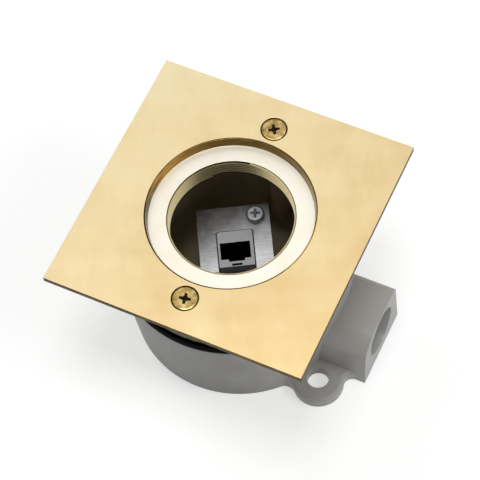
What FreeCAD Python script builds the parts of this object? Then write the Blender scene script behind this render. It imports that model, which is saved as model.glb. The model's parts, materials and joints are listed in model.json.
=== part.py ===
import FreeCAD, Part
import math
import os
import re
import Sketcher

# A floor socket box for one data outlet. A grey cast cup is screwed to the subfloor by two ears and takes
# one conduit. A square brass cover with a threaded neck for a screw cap stands on it, over a cast collar
# and a rubber gasket, and two long screws hold the stack together. Inside, a steel bracket on two
# pillars carries a keystone data jack, turned a little because its screws are on a diagonal.
#
# Frame: millimetres, +Z up, origin at the centre of the cup's underside on the axis of the round cup and
# opening, +X out of the conduit entry. The plate's edges are parallel to X and Y.

doc = FreeCAD.newDocument("FloorSocketBox")

SIZES = (
    # Cover plate and its two screws
    ("plate_side", 110.0),
    ("plate_thickness", 2.5),
    ("cover_screw_spacing", 82.8),
    ("cover_screw_length", 50.0),
    ("cover_screw_radius", 2.45),
    ("countersink_radius", 5.55),
    ("countersink_angle", 45.0),
    ("head_below_plate", 0.15),
    # Threaded ring under the plate
    ("recess_radius", 34.3),
    ("recess_depth", 5.0),
    ("ring_wall", 2.6),
    ("ring_flange", 2.7),
    ("neck_bore_radius", 25.1),
    ("neck_wall", 3.2),
    ("neck_length", 8.0),
    ("ring_seal_thickness", 1.0),
    # Cast collar
    ("collar_radius", 47.8),
    ("collar_height", 20.0),
    ("collar_wall", 3.0),
    ("collar_lip_radius", 31.6),
    ("collar_lip_thickness", 2.5),
    ("collar_boss_radius", 5.2),
    ("cover_hole_radius", 3.1),
    # Rubber gasket on the cup's rim
    ("gasket_thickness", 4.2),
    ("gasket_radius", 48.4),
    ("gasket_width", 3.6),
    # Cast cup
    ("cup_height", 45.0),
    ("cup_base_radius", 46.0),
    ("cup_rim_radius", 49.0),
    ("cup_wall", 3.2),
    ("cup_floor", 4.5),
    ("cup_rim_bevel", 0.8),
    ("cup_floor_bevel", 2.0),
    ("screw_pillar_radius", 4.5),
    ("thread_depth", 27.0),
    # Conduit entry
    ("boss_reach", 63.8),
    ("boss_base_width", 34.7),
    ("boss_top_width", 30.8),
    ("boss_height", 28.0),
    ("boss_far_round", 3.0),
    ("boss_near_round", 11.0),
    ("conduit_radius", 10.5),
    ("conduit_level", 16.2),
    # Fixing ears
    ("ear_circle", 52.5),
    ("ear_direction", -28.4),
    ("ear_radius", 10.6),
    ("ear_thickness", 5.8),
    ("ear_hole_radius", 4.6),
    ("ear_blend", 5.0),
    ("ear_boss_blend", 3.5),
    ("ear_bevel", 1.2),
    ("ear_seat", 0.3),
    # Bracket, its pillars and screws
    ("bracket_turn", 29.8),
    ("bracket_width", 30.0),
    ("bracket_length", 37.4),
    ("bracket_thickness", 1.5),
    ("bracket_level", 41.2),
    ("bracket_screw_across", 9.3),
    ("bracket_screw_along", 14.4),
    ("bracket_hole_radius", 2.2),
    ("window_width", 14.9),
    ("window_above", 8.45),
    ("window_below", 11.5),
    ("window_corner", 1.4),
    ("standoff_length", 20.0),
    ("standoff_across_flats", 7.0),
    ("stud_radius", 2.0),
    ("stud_length", 7.0),
    ("pillar_radius", 5.0),
    ("pan_screw_length", 6.0),
    ("pan_head_radius", 3.8),
    ("pan_head_height", 2.6),
    ("pan_crown_radius", 2.4),
    # Keystone data jack
    ("jack_width", 14.5),
    ("jack_height", 16.5),
    ("jack_proud", 0.5),
    ("jack_depth", 20.0),
    ("jack_corner", 1.2),
    ("hook_reach", 1.3),
    ("hook_thickness", 1.6),
    ("port_width", 11.8),
    ("port_height", 6.8),
    ("port_top_wall", 5.3),
    ("port_depth", 14.0),
    ("comb_width", 6.6),
    ("comb_height", 1.5),
    ("comb_depth", 9.0),
    ("comb_tooth", 0.55),
    ("comb_tooth_drop", 0.4),
    ("latch_slot_width", 4.1),
    ("latch_slot_height", 1.0),
    ("latch_slot_drop", 14.3),
    ("latch_slot_depth", 3.0),
    ("carrier_width", 9.6),
    ("carrier_thickness", 1.4),
    ("carrier_below_face", 3.4),
    ("carrier_setback", 0.1),
    ("carrier_cover", 1.6),
    ("contact_pitch", 1.02),
    ("contact_wire", 0.35),
    ("contact_slope", 24.0),
    ("contact_length", 8.6),
    ("contact_gap", 0.12),
    ("latch_width", 9.0),
    ("latch_thickness", 1.3),
    ("latch_root_level", 24.0),
    ("latch_catch", 0.7),
    ("latch_lead", 0.3),
    ("board_thickness", 1.4),
    ("idc_height", 8.5),
    ("idc_inset", 0.4),
    ("idc_pitch", 3.1),
    ("idc_slot_width", 1.0),
    ("idc_slot_depth", 4.2),
    ("idc_row_depth", 5.0),
    ("terminal_thickness", 0.4),
    ("terminal_notch", 0.4),
    ("terminal_inset", 1.0),
    ("cap_wall", 1.0),
    ("cap_height", 5.0),
    # Earth terminal
    ("earth_x", 21.0),
    ("earth_y", -27.0),
    ("earth_boss_radius", 5.0),
    ("earth_boss_height", 4.0),
    ("earth_plate_side", 8.4),
    ("earth_plate_thickness", 1.2),
    ("earth_screw_length", 5.0),
    # Clearances, and how far a cut runs past what it cuts or a fused piece runs into its neighbour
    ("running_gap", 0.05),
    ("seat_gap", 0.3),
    ("overrun", 0.5),
)

sheet = doc.addObject("Spreadsheet::Sheet", "Sizes")
for row, (word, number) in enumerate(SIZES, start=1):
    sheet.set(f"A{row}", word)
    sheet.set(f"B{row}", str(number))
    sheet.setAlias(f"B{row}", word)
doc.recompute()

ALIASES = {word for word, number in SIZES}
CONTACTS = 8
COMB_TEETH = 5
SLOTS_PER_ROW = 4

# Heights of the stack, from the cup's underside up
COLLAR_BOTTOM = "(cup_height + gasket_thickness)"
PLATE_BOTTOM = f"({COLLAR_BOTTOM} + collar_height)"
PLATE_TOP = f"({PLATE_BOTTOM} + plate_thickness)"
RECESS_FLOOR = f"({PLATE_TOP} - recess_depth)"
RING_UNDERSIDE = f"({RECESS_FLOOR} - ring_flange)"
SEAL_UNDERSIDE = f"({RING_UNDERSIDE} - ring_seal_thickness)"
LIP_UNDERSIDE = f"({SEAL_UNDERSIDE} - collar_lip_thickness)"
NECK_BOTTOM = f"({RECESS_FLOOR} - neck_length)"
RING_RADIUS = "(recess_radius + ring_wall)"
RING_POCKET = f"({RING_RADIUS} + seat_gap)"
SCREW_Y = "(cover_screw_spacing / 2)"
BRACKET_BOTTOM = "(bracket_level - bracket_thickness)"
PILLAR_TOP = f"({BRACKET_BOTTOM} - standoff_length)"
POST_X = "(bracket_screw_across * cos(bracket_turn) - bracket_screw_along * sin(bracket_turn))"
POST_Y = "(bracket_screw_across * sin(bracket_turn) + bracket_screw_along * cos(bracket_turn))"
LATCH_SLOT_BOTTOM = "(jack_height / 2 - latch_slot_drop - latch_slot_height)"
EAR_WALL = "(cup_base_radius - ear_seat)"
CUP_SLOPE = "((cup_rim_radius - cup_base_radius) / cup_height)"

# Levels and places of the jack, in its own turned frame: x across, y up the face, face on top
JACK_FACE = "(bracket_level + jack_proud)"
JACK_BACK = f"({JACK_FACE} - jack_depth)"
FACE_TOP = "(jack_height / 2)"
PORT_TOP = f"({FACE_TOP} - port_top_wall)"
PORT_BOTTOM = f"({PORT_TOP} - port_height)"
CARRIER_TOP = f"({JACK_FACE} - carrier_below_face)"
CARRIER_FRONT = f"({PORT_TOP} + carrier_setback)"
CARRIER_BACK = f"({CARRIER_FRONT} + carrier_thickness)"
BOARD_BOTTOM = f"({JACK_BACK} - board_thickness)"
IDC_BOTTOM = f"({BOARD_BOTTOM} - idc_height)"
CONTACT_SPAN = f"({CONTACTS - 1} * contact_pitch)"

# How a sketch constraint names a curve's two ends and its centre
START, END, CENTRE = range(1, 4)

nodes = []


def sized(words):
    """The same expression with every size in it read from the sheet."""
    return re.sub(r"[a-z]\w*", lambda m: "Sizes." + m[0] if m[0] in ALIASES else m[0], words)


def value(words):
    """The number that an expression in the sheet's words has now."""
    return float(sheet.evalExpression(sized(words)))


def bind(thing, **places):
    """Ties properties to expressions; a double underscore in a name stands for a dot."""
    for name, words in places.items():
        thing.setExpression(name.replace("__", "."), sized(words))
    return thing


def place(thing, x="0", y="0", z="0"):
    return bind(thing, Placement__Base__x=x, Placement__Base__y=y, Placement__Base__z=z)


def box(name, length, width, height, x="0", y="0", z="0"):
    """A block centred on x and y, standing on z."""
    block = bind(doc.addObject("Part::Box", name), Length=length, Width=width, Height=height)
    return place(block, f"{x} - ({length}) / 2", f"{y} - ({width}) / 2", z)


def cylinder(name, radius, height, x="0", y="0", z="0"):
    return place(bind(doc.addObject("Part::Cylinder", name), Radius=radius, Height=height), x, y, z)


def cone(name, low_radius, high_radius, height, x="0", y="0", z="0"):
    thing = bind(doc.addObject("Part::Cone", name), Radius1=low_radius, Radius2=high_radius, Height=height)
    return place(thing, x, y, z)


def fuse(name, *parts):
    whole = doc.addObject("Part::MultiFuse", name)
    whole.Shapes = list(parts)
    whole.Refine = True
    return whole


def cut(name, base, *tools):
    whole = doc.addObject("Part::Cut", name)
    whole.Base = base
    whole.Tool = tools[0] if len(tools) == 1 else fuse(name + "_tools", *tools)
    whole.Refine = True
    return whole


def origin_plane(body, role):
    return next(feature for feature in body.Origin.OriginFeatures if feature.Role == role)


def new_body(name):
    return doc.addObject("PartDesign::Body", name)


def new_sketch(body, role, lift="0"):
    """A sketch on one of the body's own planes, moved along that plane's normal by lift."""
    sketch = body.newObject("Sketcher::SketchObject", body.Name + "_sketch")
    sketch.AttachmentSupport = (origin_plane(body, role), [""])
    sketch.MapMode = "FlatFace"
    return bind(sketch, AttachmentOffset__Base__z=lift)


def pin_point(sketch, curve, end, across, up):
    """Ties one point of a curve to the sketch's origin by two bound distances."""
    for way, words in (("DistanceX", across), ("DistanceY", up)):
        number = value(words)
        if number < 0:
            spots, words = (curve, end, -1, 1), f"-({words})"
        else:
            spots = (-1, 1, curve, end)
        k = sketch.addConstraint(Sketcher.Constraint(way, *spots, abs(number)))
        sketch.setExpression(f"Constraints[{k}]", sized(words))


def draw_outline(sketch, corners):
    """A closed outline of straight sides, each corner bound to the sheet."""
    spots = [FreeCAD.Vector(value(u), value(v), 0) for u, v in corners]
    first = sketch.GeometryCount
    for start, end in zip(spots, spots[1:] + spots[:1]):
        sketch.addGeometry(Part.LineSegment(start, end), False)
    count = len(corners)
    for k, (across, up) in enumerate(corners):
        following = first + (k + 1) % count
        sketch.addConstraint(Sketcher.Constraint("Coincident", first + k, END, following, START))
        pin_point(sketch, first + k, START, across, up)
    return sketch


def bind_radius(sketch, curve, radius):
    k = sketch.addConstraint(Sketcher.Constraint("Radius", curve, value(radius)))
    sketch.setExpression(f"Constraints[{k}]", sized(radius))


def draw_circle(sketch, radius, across="0", up="0"):
    centre = FreeCAD.Vector(value(across), value(up), 0)
    curve = sketch.addGeometry(Part.Circle(centre, FreeCAD.Vector(0, 0, 1), value(radius)), False)
    bind_radius(sketch, curve, radius)
    pin_point(sketch, curve, CENTRE, across, up)
    return sketch


def pad(body, sketch, length, midplane=False):
    feature = body.newObject("PartDesign::Pad", body.Name + "_pad")
    feature.Profile = sketch
    feature.SideType = "Symmetric" if midplane else "One side"
    return bind(feature, Length=length)


def pocket(body, sketch, depth, reversed_cut=False):
    """A cut into the body against the sketch's normal, or along it when reversed."""
    feature = body.newObject("PartDesign::Pocket", body.Name + "_pocket")
    feature.Profile = sketch
    feature.Reversed = reversed_cut
    return bind(feature, Length=depth)


def spin(body, kind, corners, role="XZ_Plane"):
    """A full turn of an outline about Z, added (Revolution) or cut away (Groove)."""
    sketch = draw_outline(new_sketch(body, role), corners)
    feature = body.newObject("PartDesign::" + kind, body.Name + "_" + kind.lower())
    feature.Profile = sketch
    feature.ReferenceAxis = (sketch, ["V_Axis"])
    feature.Angle = 360
    return feature


def turned(name, corners):
    """A body turned about Z from corners given as radius and height."""
    body = new_body(name)
    spin(body, "Revolution", corners)
    return body


def slab(name, width, low, high, height, bottom):
    """A body padded up from bottom: width is centred on X, low and high are its ends along Y."""
    body = new_body(name)
    side = f"({width} / 2)"
    pad(body, draw_outline(new_sketch(body, "XY_Plane", bottom), (
        (f"-{side}", low), (side, low), (side, high), (f"-{side}", high))), height)
    return body


def round_edges(body, base, size, wanted, kind="Fillet"):
    """Rounds (Fillet) or bevels (Chamfer) those edges of the last feature that pass the test."""
    doc.recompute()
    names = [f"Edge{k}" for k, edge in enumerate(base.Shape.Edges, start=1) if wanted(edge)]
    assert names, f"{body.Name}: no edge to work on"
    feature = body.newObject("PartDesign::" + kind, f"{body.Name}_{kind.lower()}")
    feature.Base = (base, names)
    return bind(feature, **{"Radius" if kind == "Fillet" else "Size": size})


def spots_of(edge):
    """Five points along an edge."""
    first, last = edge.ParameterRange
    return [edge.valueAt(first + (last - first) * step / 4) for step in range(5)]


def near(a, b):
    return abs(a - b) < 1e-3


def repeat_along_x(body, feature, count, length):
    """Repeats a feature along the body's X, the last copy at that length from the first."""
    repeat = body.newObject("PartDesign::LinearPattern", f"{body.Name}_row")
    repeat.Originals = [feature]
    repeat.Occurrences = count
    repeat.Direction = (origin_plane(body, "X_Axis"), [""])
    bind(repeat, Length=length)
    body.Tip = repeat


def node(thing, label, turn=None):
    """Names a finished sub-part; turn swings it about Z."""
    thing.Label = label
    if turn:
        thing.Placement.Rotation = FreeCAD.Rotation(FreeCAD.Vector(0, 0, 1), value(turn))
        bind(thing, Placement__Rotation__Angle=turn)
    nodes.append(thing)
    return thing


def arc_between(centre, radius, start, end):
    """An arc, counter-clockwise from the direction of start to that of end."""
    first = math.atan2(start.y - centre.y, start.x - centre.x)
    last = math.atan2(end.y - centre.y, end.x - centre.x)
    circle = Part.Circle(centre, FreeCAD.Vector(0, 0, 1), radius)
    return Part.ArcOfCircle(circle, first, last if last > first else last + 2 * math.pi)


def make_cup():
    """The cast cup: ears, tapered wall, conduit entry, screw pillars and pads, all one casting."""
    cup = new_body("cup")
    make_ears(cup)
    spin(cup, "Revolution", (
        ("0", "0"), ("cup_base_radius", "0"),
        (f"cup_rim_radius - {CUP_SLOPE} * cup_rim_bevel", "cup_height - cup_rim_bevel"),
        ("cup_rim_radius - cup_rim_bevel", "cup_height"), ("0", "cup_height")))

    boss = draw_outline(new_sketch(cup, "YZ_Plane"), (
        ("-boss_base_width / 2", "0"), ("boss_base_width / 2", "0"),
        ("boss_top_width / 2", "boss_height"), ("-boss_top_width / 2", "boss_height")))
    feature = pad(cup, boss, "boss_reach")

    def top_edge(side):
        """Picks out the boss's long upper edge on that side."""
        level, shoulder = value("boss_height"), side * value("boss_top_width / 2")
        return lambda edge: all(near(p.z, level) and near(p.y, shoulder) for p in spots_of(edge))
    feature = round_edges(cup, feature, "boss_far_round", top_edge(1))
    round_edges(cup, feature, "boss_near_round", top_edge(-1))

    ear_holes = bind(new_sketch(cup, "XY_Plane"), AttachmentOffset__Rotation__Angle="ear_direction")
    for side in ("", "-"):
        draw_circle(ear_holes, "ear_hole_radius", side + "ear_circle", "0")
    pocket(cup, ear_holes, "ear_thickness + overrun", reversed_cut=True)
    hollow_cup(cup)
    return node(cup, "box_body")


def make_ears(cup):
    """Two opposite ears at floor level, swept by hollow blends into the wall and the boss's side.

    One closed outline runs round both ears and straight across inside the cup between them."""
    ear_x, ear_y = "(ear_circle * cos(ear_direction))", "(ear_circle * sin(ear_direction))"
    wall, blend = value(EAR_WALL), value("ear_blend")
    ear, reach = value("ear_radius"), value("ear_circle")
    far = wall + blend
    swing = math.degrees(math.acos((reach ** 2 + far ** 2 - (ear + blend) ** 2) / (2 * reach * far)))

    def polar(radius, degrees):
        turn = math.radians(degrees)
        return FreeCAD.Vector(radius * math.cos(turn), radius * math.sin(turn), 0)

    def toward(start, end, length):
        return start + (end - start).normalize() * length

    sketch = new_sketch(cup, "XY_Plane")
    draw_circle(sketch, EAR_WALL)
    wall_circle = sketch.GeometryCount - 1
    boss_side = value("-boss_base_width / 2")
    side_ends = [FreeCAD.Vector(x, boss_side, 0) for x in (reach, reach + ear)]
    side_line = sketch.addGeometry(Part.LineSegment(*side_ends), False)
    for end, words in ((START, "ear_circle"), (END, "ear_circle + ear_radius")):
        pin_point(sketch, side_line, end, words, "-boss_base_width / 2")
    sketch.setConstruction(wall_circle, True)
    sketch.setConstruction(side_line, True)

    centre = polar(reach, value("ear_direction"))
    boss_blend = value("ear_boss_blend")
    drop = boss_side - boss_blend
    beside = FreeCAD.Vector(centre.x + math.sqrt((ear + boss_blend) ** 2 - (drop - centre.y) ** 2), drop, 0)
    touch = FreeCAD.Vector(beside.x, boss_side, 0)
    opposite = centre * -1
    direction = value("ear_direction")
    low = polar(far, direction - swing)
    back_low, back_high = polar(far, direction + 180 - swing), polar(far, direction + 180 + swing)

    tips = (arc_between(centre, ear, toward(centre, low, ear), toward(centre, beside, ear)),
            arc_between(opposite, ear, toward(opposite, back_low, ear), toward(opposite, back_high, ear)))
    front, back = (sketch.addGeometry(tip, False) for tip in tips)
    for tip, sign in ((front, ""), (back, "-")):
        pin_point(sketch, tip, CENTRE, sign + ear_x, sign + ear_y)
        bind_radius(sketch, tip, "ear_radius")

    def hollow(middle, radius, size, tip, tip_end, wall_spot, seat):
        """A hollow blend from one end of an ear's arc to a tangent point on its seat."""
        ear_spot = toward(middle, centre if tip == front else opposite, radius)
        spots = (ear_spot, wall_spot) if tip_end == START else (wall_spot, ear_spot)
        curve = sketch.addGeometry(arc_between(middle, radius, *spots), False)
        bind_radius(sketch, curve, size)
        sketch.addConstraint(Sketcher.Constraint("Tangent", tip, tip_end, curve, tip_end))
        wall_end = END if tip_end == START else START
        sketch.addConstraint(Sketcher.Constraint("Tangent", curve, wall_end, seat))
        return curve

    first = hollow(low, blend, "ear_blend", front, START, polar(wall, direction - swing), wall_circle)
    second = hollow(beside, boss_blend, "ear_boss_blend", front, END, touch, side_line)
    far_low, far_high = (polar(wall, direction + 180 + turn) for turn in (-swing, swing))
    third = hollow(back_low, blend, "ear_blend", back, START, far_low, wall_circle)
    fourth = hollow(back_high, blend, "ear_blend", back, END, far_high, wall_circle)

    # Across the inside: from the boss's side into the boss, over to the far ear, and straight back
    inside = FreeCAD.Vector(touch.x, 0, 0)
    runs = ((touch, inside), (inside, far_low), (far_high, polar(wall, direction - swing)))
    into, over, home = (sketch.addGeometry(Part.LineSegment(*run), False) for run in runs)
    sketch.addConstraint(Sketcher.Constraint("Vertical", into))
    for joint in ((into, START, second, START), (into, END, over, START), (over, END, third, END),
                  (home, START, fourth, START), (home, END, first, END)):
        sketch.addConstraint(Sketcher.Constraint("Coincident", *joint))
    sketch.addConstraint(Sketcher.Constraint("PointOnObject", into, END, -1))
    ears = pad(cup, sketch, "ear_thickness")

    def ear_rim(edge):
        """The round stretches of the outline's upper edge."""
        return (edge.Curve.TypeId == "Part::GeomCircle" and all(near(p.z, value("ear_thickness"))
                                                                for p in spots_of(edge)))
    round_edges(cup, ears, "ear_bevel", ear_rim, "Chamfer")


def hollow_cup(cup):
    """Cuts the inside, the conduit way and the holes, and stands the pillars on the floor."""
    inner = "(cup_rim_radius - cup_wall)"
    floor_radius = f"({inner} - {CUP_SLOPE} * (cup_height - cup_floor))"
    spin(cup, "Groove", (
        ("0", "cup_floor"), (f"{floor_radius} - cup_floor_bevel", "cup_floor"),
        (f"{floor_radius} + {CUP_SLOPE} * cup_floor_bevel", "cup_floor + cup_floor_bevel"),
        (f"{inner} + {CUP_SLOPE} * overrun", "cup_height + overrun"), ("0", "cup_height + overrun")))

    bore = draw_circle(new_sketch(cup, "YZ_Plane"), "conduit_radius", "0", "conduit_level")
    pocket(cup, bore, "boss_reach + overrun", reversed_cut=True)

    # Pillars for the cover screws, posts for the bracket's pillars and the earth pad, rooted in the floor
    pillars = new_sketch(cup, "XY_Plane", "cup_floor - overrun")
    posts = new_sketch(cup, "XY_Plane", "cup_floor - overrun")
    for side in ("", "-"):
        draw_circle(pillars, "screw_pillar_radius", "0", side + SCREW_Y)
        draw_circle(posts, "pillar_radius", side + POST_X, side + POST_Y)
    pad(cup, pillars, "cup_height - cup_floor + overrun")
    pad(cup, posts, f"{PILLAR_TOP} - cup_floor + overrun")
    earth = draw_circle(new_sketch(cup, "XY_Plane", "cup_floor - overrun"),
                        "earth_boss_radius", "earth_x", "earth_y")
    pad(cup, earth, "earth_boss_height + overrun")

    threads = new_sketch(cup, "XY_Plane", "cup_height")
    studs = new_sketch(cup, "XY_Plane", PILLAR_TOP)
    for side in ("", "-"):
        draw_circle(threads, "cover_screw_radius + running_gap", "0", side + SCREW_Y)
        draw_circle(studs, "stud_radius", side + POST_X, side + POST_Y)
    pocket(cup, threads, "thread_depth")
    pocket(cup, studs, "stud_length + seat_gap")
    tapping = draw_circle(new_sketch(cup, "XY_Plane", "cup_floor + earth_boss_height"),
                          "stud_radius", "earth_x", "earth_y")
    pocket(cup, tapping, "earth_boss_height + overrun")


def make_gasket():
    """The rubber ring between rim and collar, with an eye round each cover screw."""
    inner = "(gasket_radius - gasket_width)"
    hoop = cylinder("gasket_disc", "gasket_radius", "gasket_thickness", z="cup_height")
    middle = cylinder("gasket_middle", inner, "gasket_thickness", z="cup_height")
    ring = cut("gasket_ring", hoop, middle)
    eyes, holes = [], []
    for side, sign in (("back", ""), ("front", "-")):
        spot = {"y": sign + SCREW_Y, "z": "cup_height"}
        eyes.append(cylinder(f"gasket_eye_{side}", "collar_boss_radius", "gasket_thickness", **spot))
        holes.append(cylinder(f"gasket_hole_{side}", "cover_hole_radius", "gasket_thickness", **spot))
    return node(cut("gasket", fuse("gasket_blank", ring, *eyes), *holes), "rim_gasket")


def make_collar():
    """The cast collar: outer wall, a seat that holds the threaded ring, and two screw bosses."""
    inner = "(collar_radius - collar_wall)"
    collar = turned("collar", (
        ("collar_radius", COLLAR_BOTTOM), ("collar_radius", PLATE_BOTTOM), (RING_POCKET, PLATE_BOTTOM),
        (RING_POCKET, SEAL_UNDERSIDE), ("collar_lip_radius", SEAL_UNDERSIDE),
        ("collar_lip_radius", LIP_UNDERSIDE), (inner, LIP_UNDERSIDE), (inner, COLLAR_BOTTOM)))
    bosses = new_sketch(collar, "XY_Plane", COLLAR_BOTTOM)
    for side in ("", "-"):
        draw_circle(bosses, "collar_boss_radius", "0", side + SCREW_Y)
    pad(collar, bosses, f"{LIP_UNDERSIDE} - {COLLAR_BOTTOM} + overrun")
    holes = new_sketch(collar, "XY_Plane", COLLAR_BOTTOM)
    for side in ("", "-"):
        draw_circle(holes, "cover_hole_radius", "0", side + SCREW_Y)
    pocket(collar, holes, "collar_height", reversed_cut=True)
    return node(collar, "collar_ring")


def make_thread_ring():
    """The brass ring: a rim under the plate, the flat recess floor and the neck for the screw cap."""
    outer_neck = "(neck_bore_radius + neck_wall)"
    ring = turned("ring", (
        ("neck_bore_radius", NECK_BOTTOM), (outer_neck, NECK_BOTTOM), (outer_neck, RING_UNDERSIDE),
        (RING_RADIUS, RING_UNDERSIDE), (RING_RADIUS, PLATE_BOTTOM), ("recess_radius", PLATE_BOTTOM),
        ("recess_radius", RECESS_FLOOR), ("neck_bore_radius", RECESS_FLOOR)))
    return node(ring, "thread_ring")


def make_ring_seal():
    """The flat rubber ring on the collar's seat, which the plate presses the threaded ring down on."""
    seal = turned("seal", (
        ("collar_lip_radius", SEAL_UNDERSIDE), (RING_RADIUS, SEAL_UNDERSIDE),
        (RING_RADIUS, RING_UNDERSIDE), ("collar_lip_radius", RING_UNDERSIDE)))
    return node(seal, "ring_seal")


def make_plate():
    """The square brass plate, with the round opening over the recess and two countersunk holes."""
    blank = box("plate_blank", "plate_side", "plate_side", "plate_thickness", z=PLATE_BOTTOM)
    opening = cylinder("plate_opening", "recess_radius", "plate_thickness", z=PLATE_BOTTOM)
    low = "(countersink_radius - plate_thickness * tan(countersink_angle))"
    sinks = [cone(f"plate_sink_{side}", low, "countersink_radius", "plate_thickness",
                  y=sign + SCREW_Y, z=PLATE_BOTTOM) for side, sign in (("back", ""), ("front", "-"))]
    return node(cut("plate", blank, opening, *sinks), "cover_plate")


def make_cover_screw(label, sign):
    """A long countersunk screw, its head just below the plate's face."""
    head_top = f"({PLATE_TOP} - head_below_plate)"
    head_radius = "(countersink_radius - head_below_plate * tan(countersink_angle) - running_gap)"
    head_depth = f"(({head_radius} - cover_screw_radius) / tan(countersink_angle))"
    screw = turned(label, (
        ("0", f"{head_top} - cover_screw_length"), ("cover_screw_radius", f"{head_top} - cover_screw_length"),
        ("cover_screw_radius", f"{head_top} - {head_depth}"), (head_radius, head_top), ("0", head_top)))
    place(screw, y=sign + SCREW_Y)
    return node(screw, label)


def make_standoff(label, sign):
    """A hexagonal pillar whose stud screws into the cup's post."""
    hexagon = bind(doc.addObject("Part::Prism", label + "_hexagon"), Height="standoff_length",
                   Circumradius="standoff_across_flats / sqrt(3)")
    hexagon.Polygon = 6
    place(hexagon, sign + POST_X, sign + POST_Y, PILLAR_TOP)
    stud = cylinder(label + "_stud", "stud_radius - running_gap", "stud_length + overrun",
                    sign + POST_X, sign + POST_Y, f"{PILLAR_TOP} - stud_length")
    hole = cylinder(label + "_hole", "stud_radius", "pan_screw_length",
                    sign + POST_X, sign + POST_Y, f"{BRACKET_BOTTOM} - pan_screw_length")
    return node(cut(label, fuse(label + "_blank", hexagon, stud), hole), label)


def make_bracket_screw(label, sign):
    """A pan-head screw through the bracket into its pillar."""
    screw = turned(label, (
        ("0", "bracket_level + pan_head_height"),
        ("0", "bracket_level - pan_screw_length"),
        ("stud_radius - running_gap", "bracket_level - pan_screw_length"),
        ("stud_radius - running_gap", "bracket_level"), ("pan_head_radius", "bracket_level"),
        ("pan_head_radius", "bracket_level + pan_head_height / 2"),
        ("pan_crown_radius", "bracket_level + pan_head_height")))
    place(screw, sign + POST_X, sign + POST_Y)
    return node(screw, label)


def make_bracket():
    """The flat steel bracket with the jack's window and two holes on a diagonal."""
    blank = box("bracket_blank", "bracket_width", "bracket_length", "bracket_thickness", z=BRACKET_BOTTOM)
    half = "(window_width / 2)"
    cutter = new_body("bracket_window")
    sketch = draw_outline(new_sketch(cutter, "XY_Plane", BRACKET_BOTTOM), (
        (f"-{half}", "-window_below"), (half, "-window_below"), (half, "window_above - window_corner"),
        (f"{half} - window_corner", "window_above"), (f"-{half} + window_corner", "window_above"),
        (f"-{half}", "window_above - window_corner")))
    pad(cutter, sketch, "bracket_thickness")
    holes = [cylinder(f"bracket_hole_{side}", "bracket_hole_radius", "bracket_thickness",
                      sign + "bracket_screw_across", sign + "bracket_screw_along", BRACKET_BOTTOM)
             for side, sign in (("back", ""), ("front", "-"))]
    return node(cut("bracket", blank, cutter, *holes), "bracket_plate", "bracket_turn")


def make_jack_housing():
    """The jack's moulded housing: face, plug port, comb, latch slot and the hook behind the bracket."""
    body = new_body("housing")
    half = "(jack_width / 2)"
    outline = draw_outline(new_sketch(body, "XY_Plane", JACK_BACK), (
        (f"-{half}", f"-{FACE_TOP}"), (half, f"-{FACE_TOP}"), (half, f"{FACE_TOP} - jack_corner"),
        (f"{half} - jack_corner", FACE_TOP), (f"-{half} + jack_corner", FACE_TOP),
        (f"-{half}", f"{FACE_TOP} - jack_corner")))
    pad(body, outline, "jack_depth")
    hook_width = f"({half} - jack_corner)"
    hook_top = f"({BRACKET_BOTTOM} - seat_gap / 3)"
    hook = draw_outline(new_sketch(body, "XY_Plane", f"{hook_top} - hook_thickness"), (
        (f"-{hook_width}", f"{FACE_TOP} - overrun"), (hook_width, f"{FACE_TOP} - overrun"),
        (hook_width, f"{FACE_TOP} + hook_reach"), (f"-{hook_width}", f"{FACE_TOP} + hook_reach")))
    pad(body, hook, "hook_thickness")
    for width, low, high, depth in (
            ("port_width", PORT_BOTTOM, PORT_TOP, "port_depth"),
            ("comb_width", f"{PORT_BOTTOM} - comb_height", f"{PORT_BOTTOM} + overrun", "comb_depth"),
            ("latch_slot_width", LATCH_SLOT_BOTTOM, f"{LATCH_SLOT_BOTTOM} + latch_slot_height",
             "latch_slot_depth")):
        side = f"({width} / 2)"
        opening = draw_outline(new_sketch(body, "XY_Plane", JACK_FACE), (
            (f"-{side}", low), (side, low), (side, high), (f"-{side}", high)))
        pocket(body, opening, depth)
    side = "(carrier_width / 2 + running_gap)"
    channel = draw_outline(new_sketch(body, "XY_Plane", JACK_BACK), (
        (f"-{side}", f"{PORT_TOP} - overrun"), (side, f"{PORT_TOP} - overrun"),
        (side, f"{CARRIER_BACK} + contact_wire + 2 * contact_gap"),
        (f"-{side}", f"{CARRIER_BACK} + contact_wire + 2 * contact_gap")))
    pocket(body, channel, "jack_depth - carrier_cover", reversed_cut=True)
    # Teeth of the comb, standing between the latch's notches
    pitch = f"(comb_width / {COMB_TEETH + 1})"
    left = f"(-{COMB_TEETH // 2} * {pitch} - comb_tooth / 2)"
    right, foot = f"({left} + comb_tooth)", f"({PORT_BOTTOM} - comb_height - overrun)"
    tooth = draw_outline(new_sketch(body, "XY_Plane", f"{JACK_FACE} - comb_depth"), (
        (left, foot), (right, foot), (right, PORT_BOTTOM), (left, PORT_BOTTOM)))
    teeth = pad(body, tooth, "comb_depth - comb_tooth_drop")
    repeat_along_x(body, teeth, COMB_TEETH, f"{COMB_TEETH - 1} * {pitch}")
    return node(body, "jack_housing", "bracket_turn")


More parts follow.
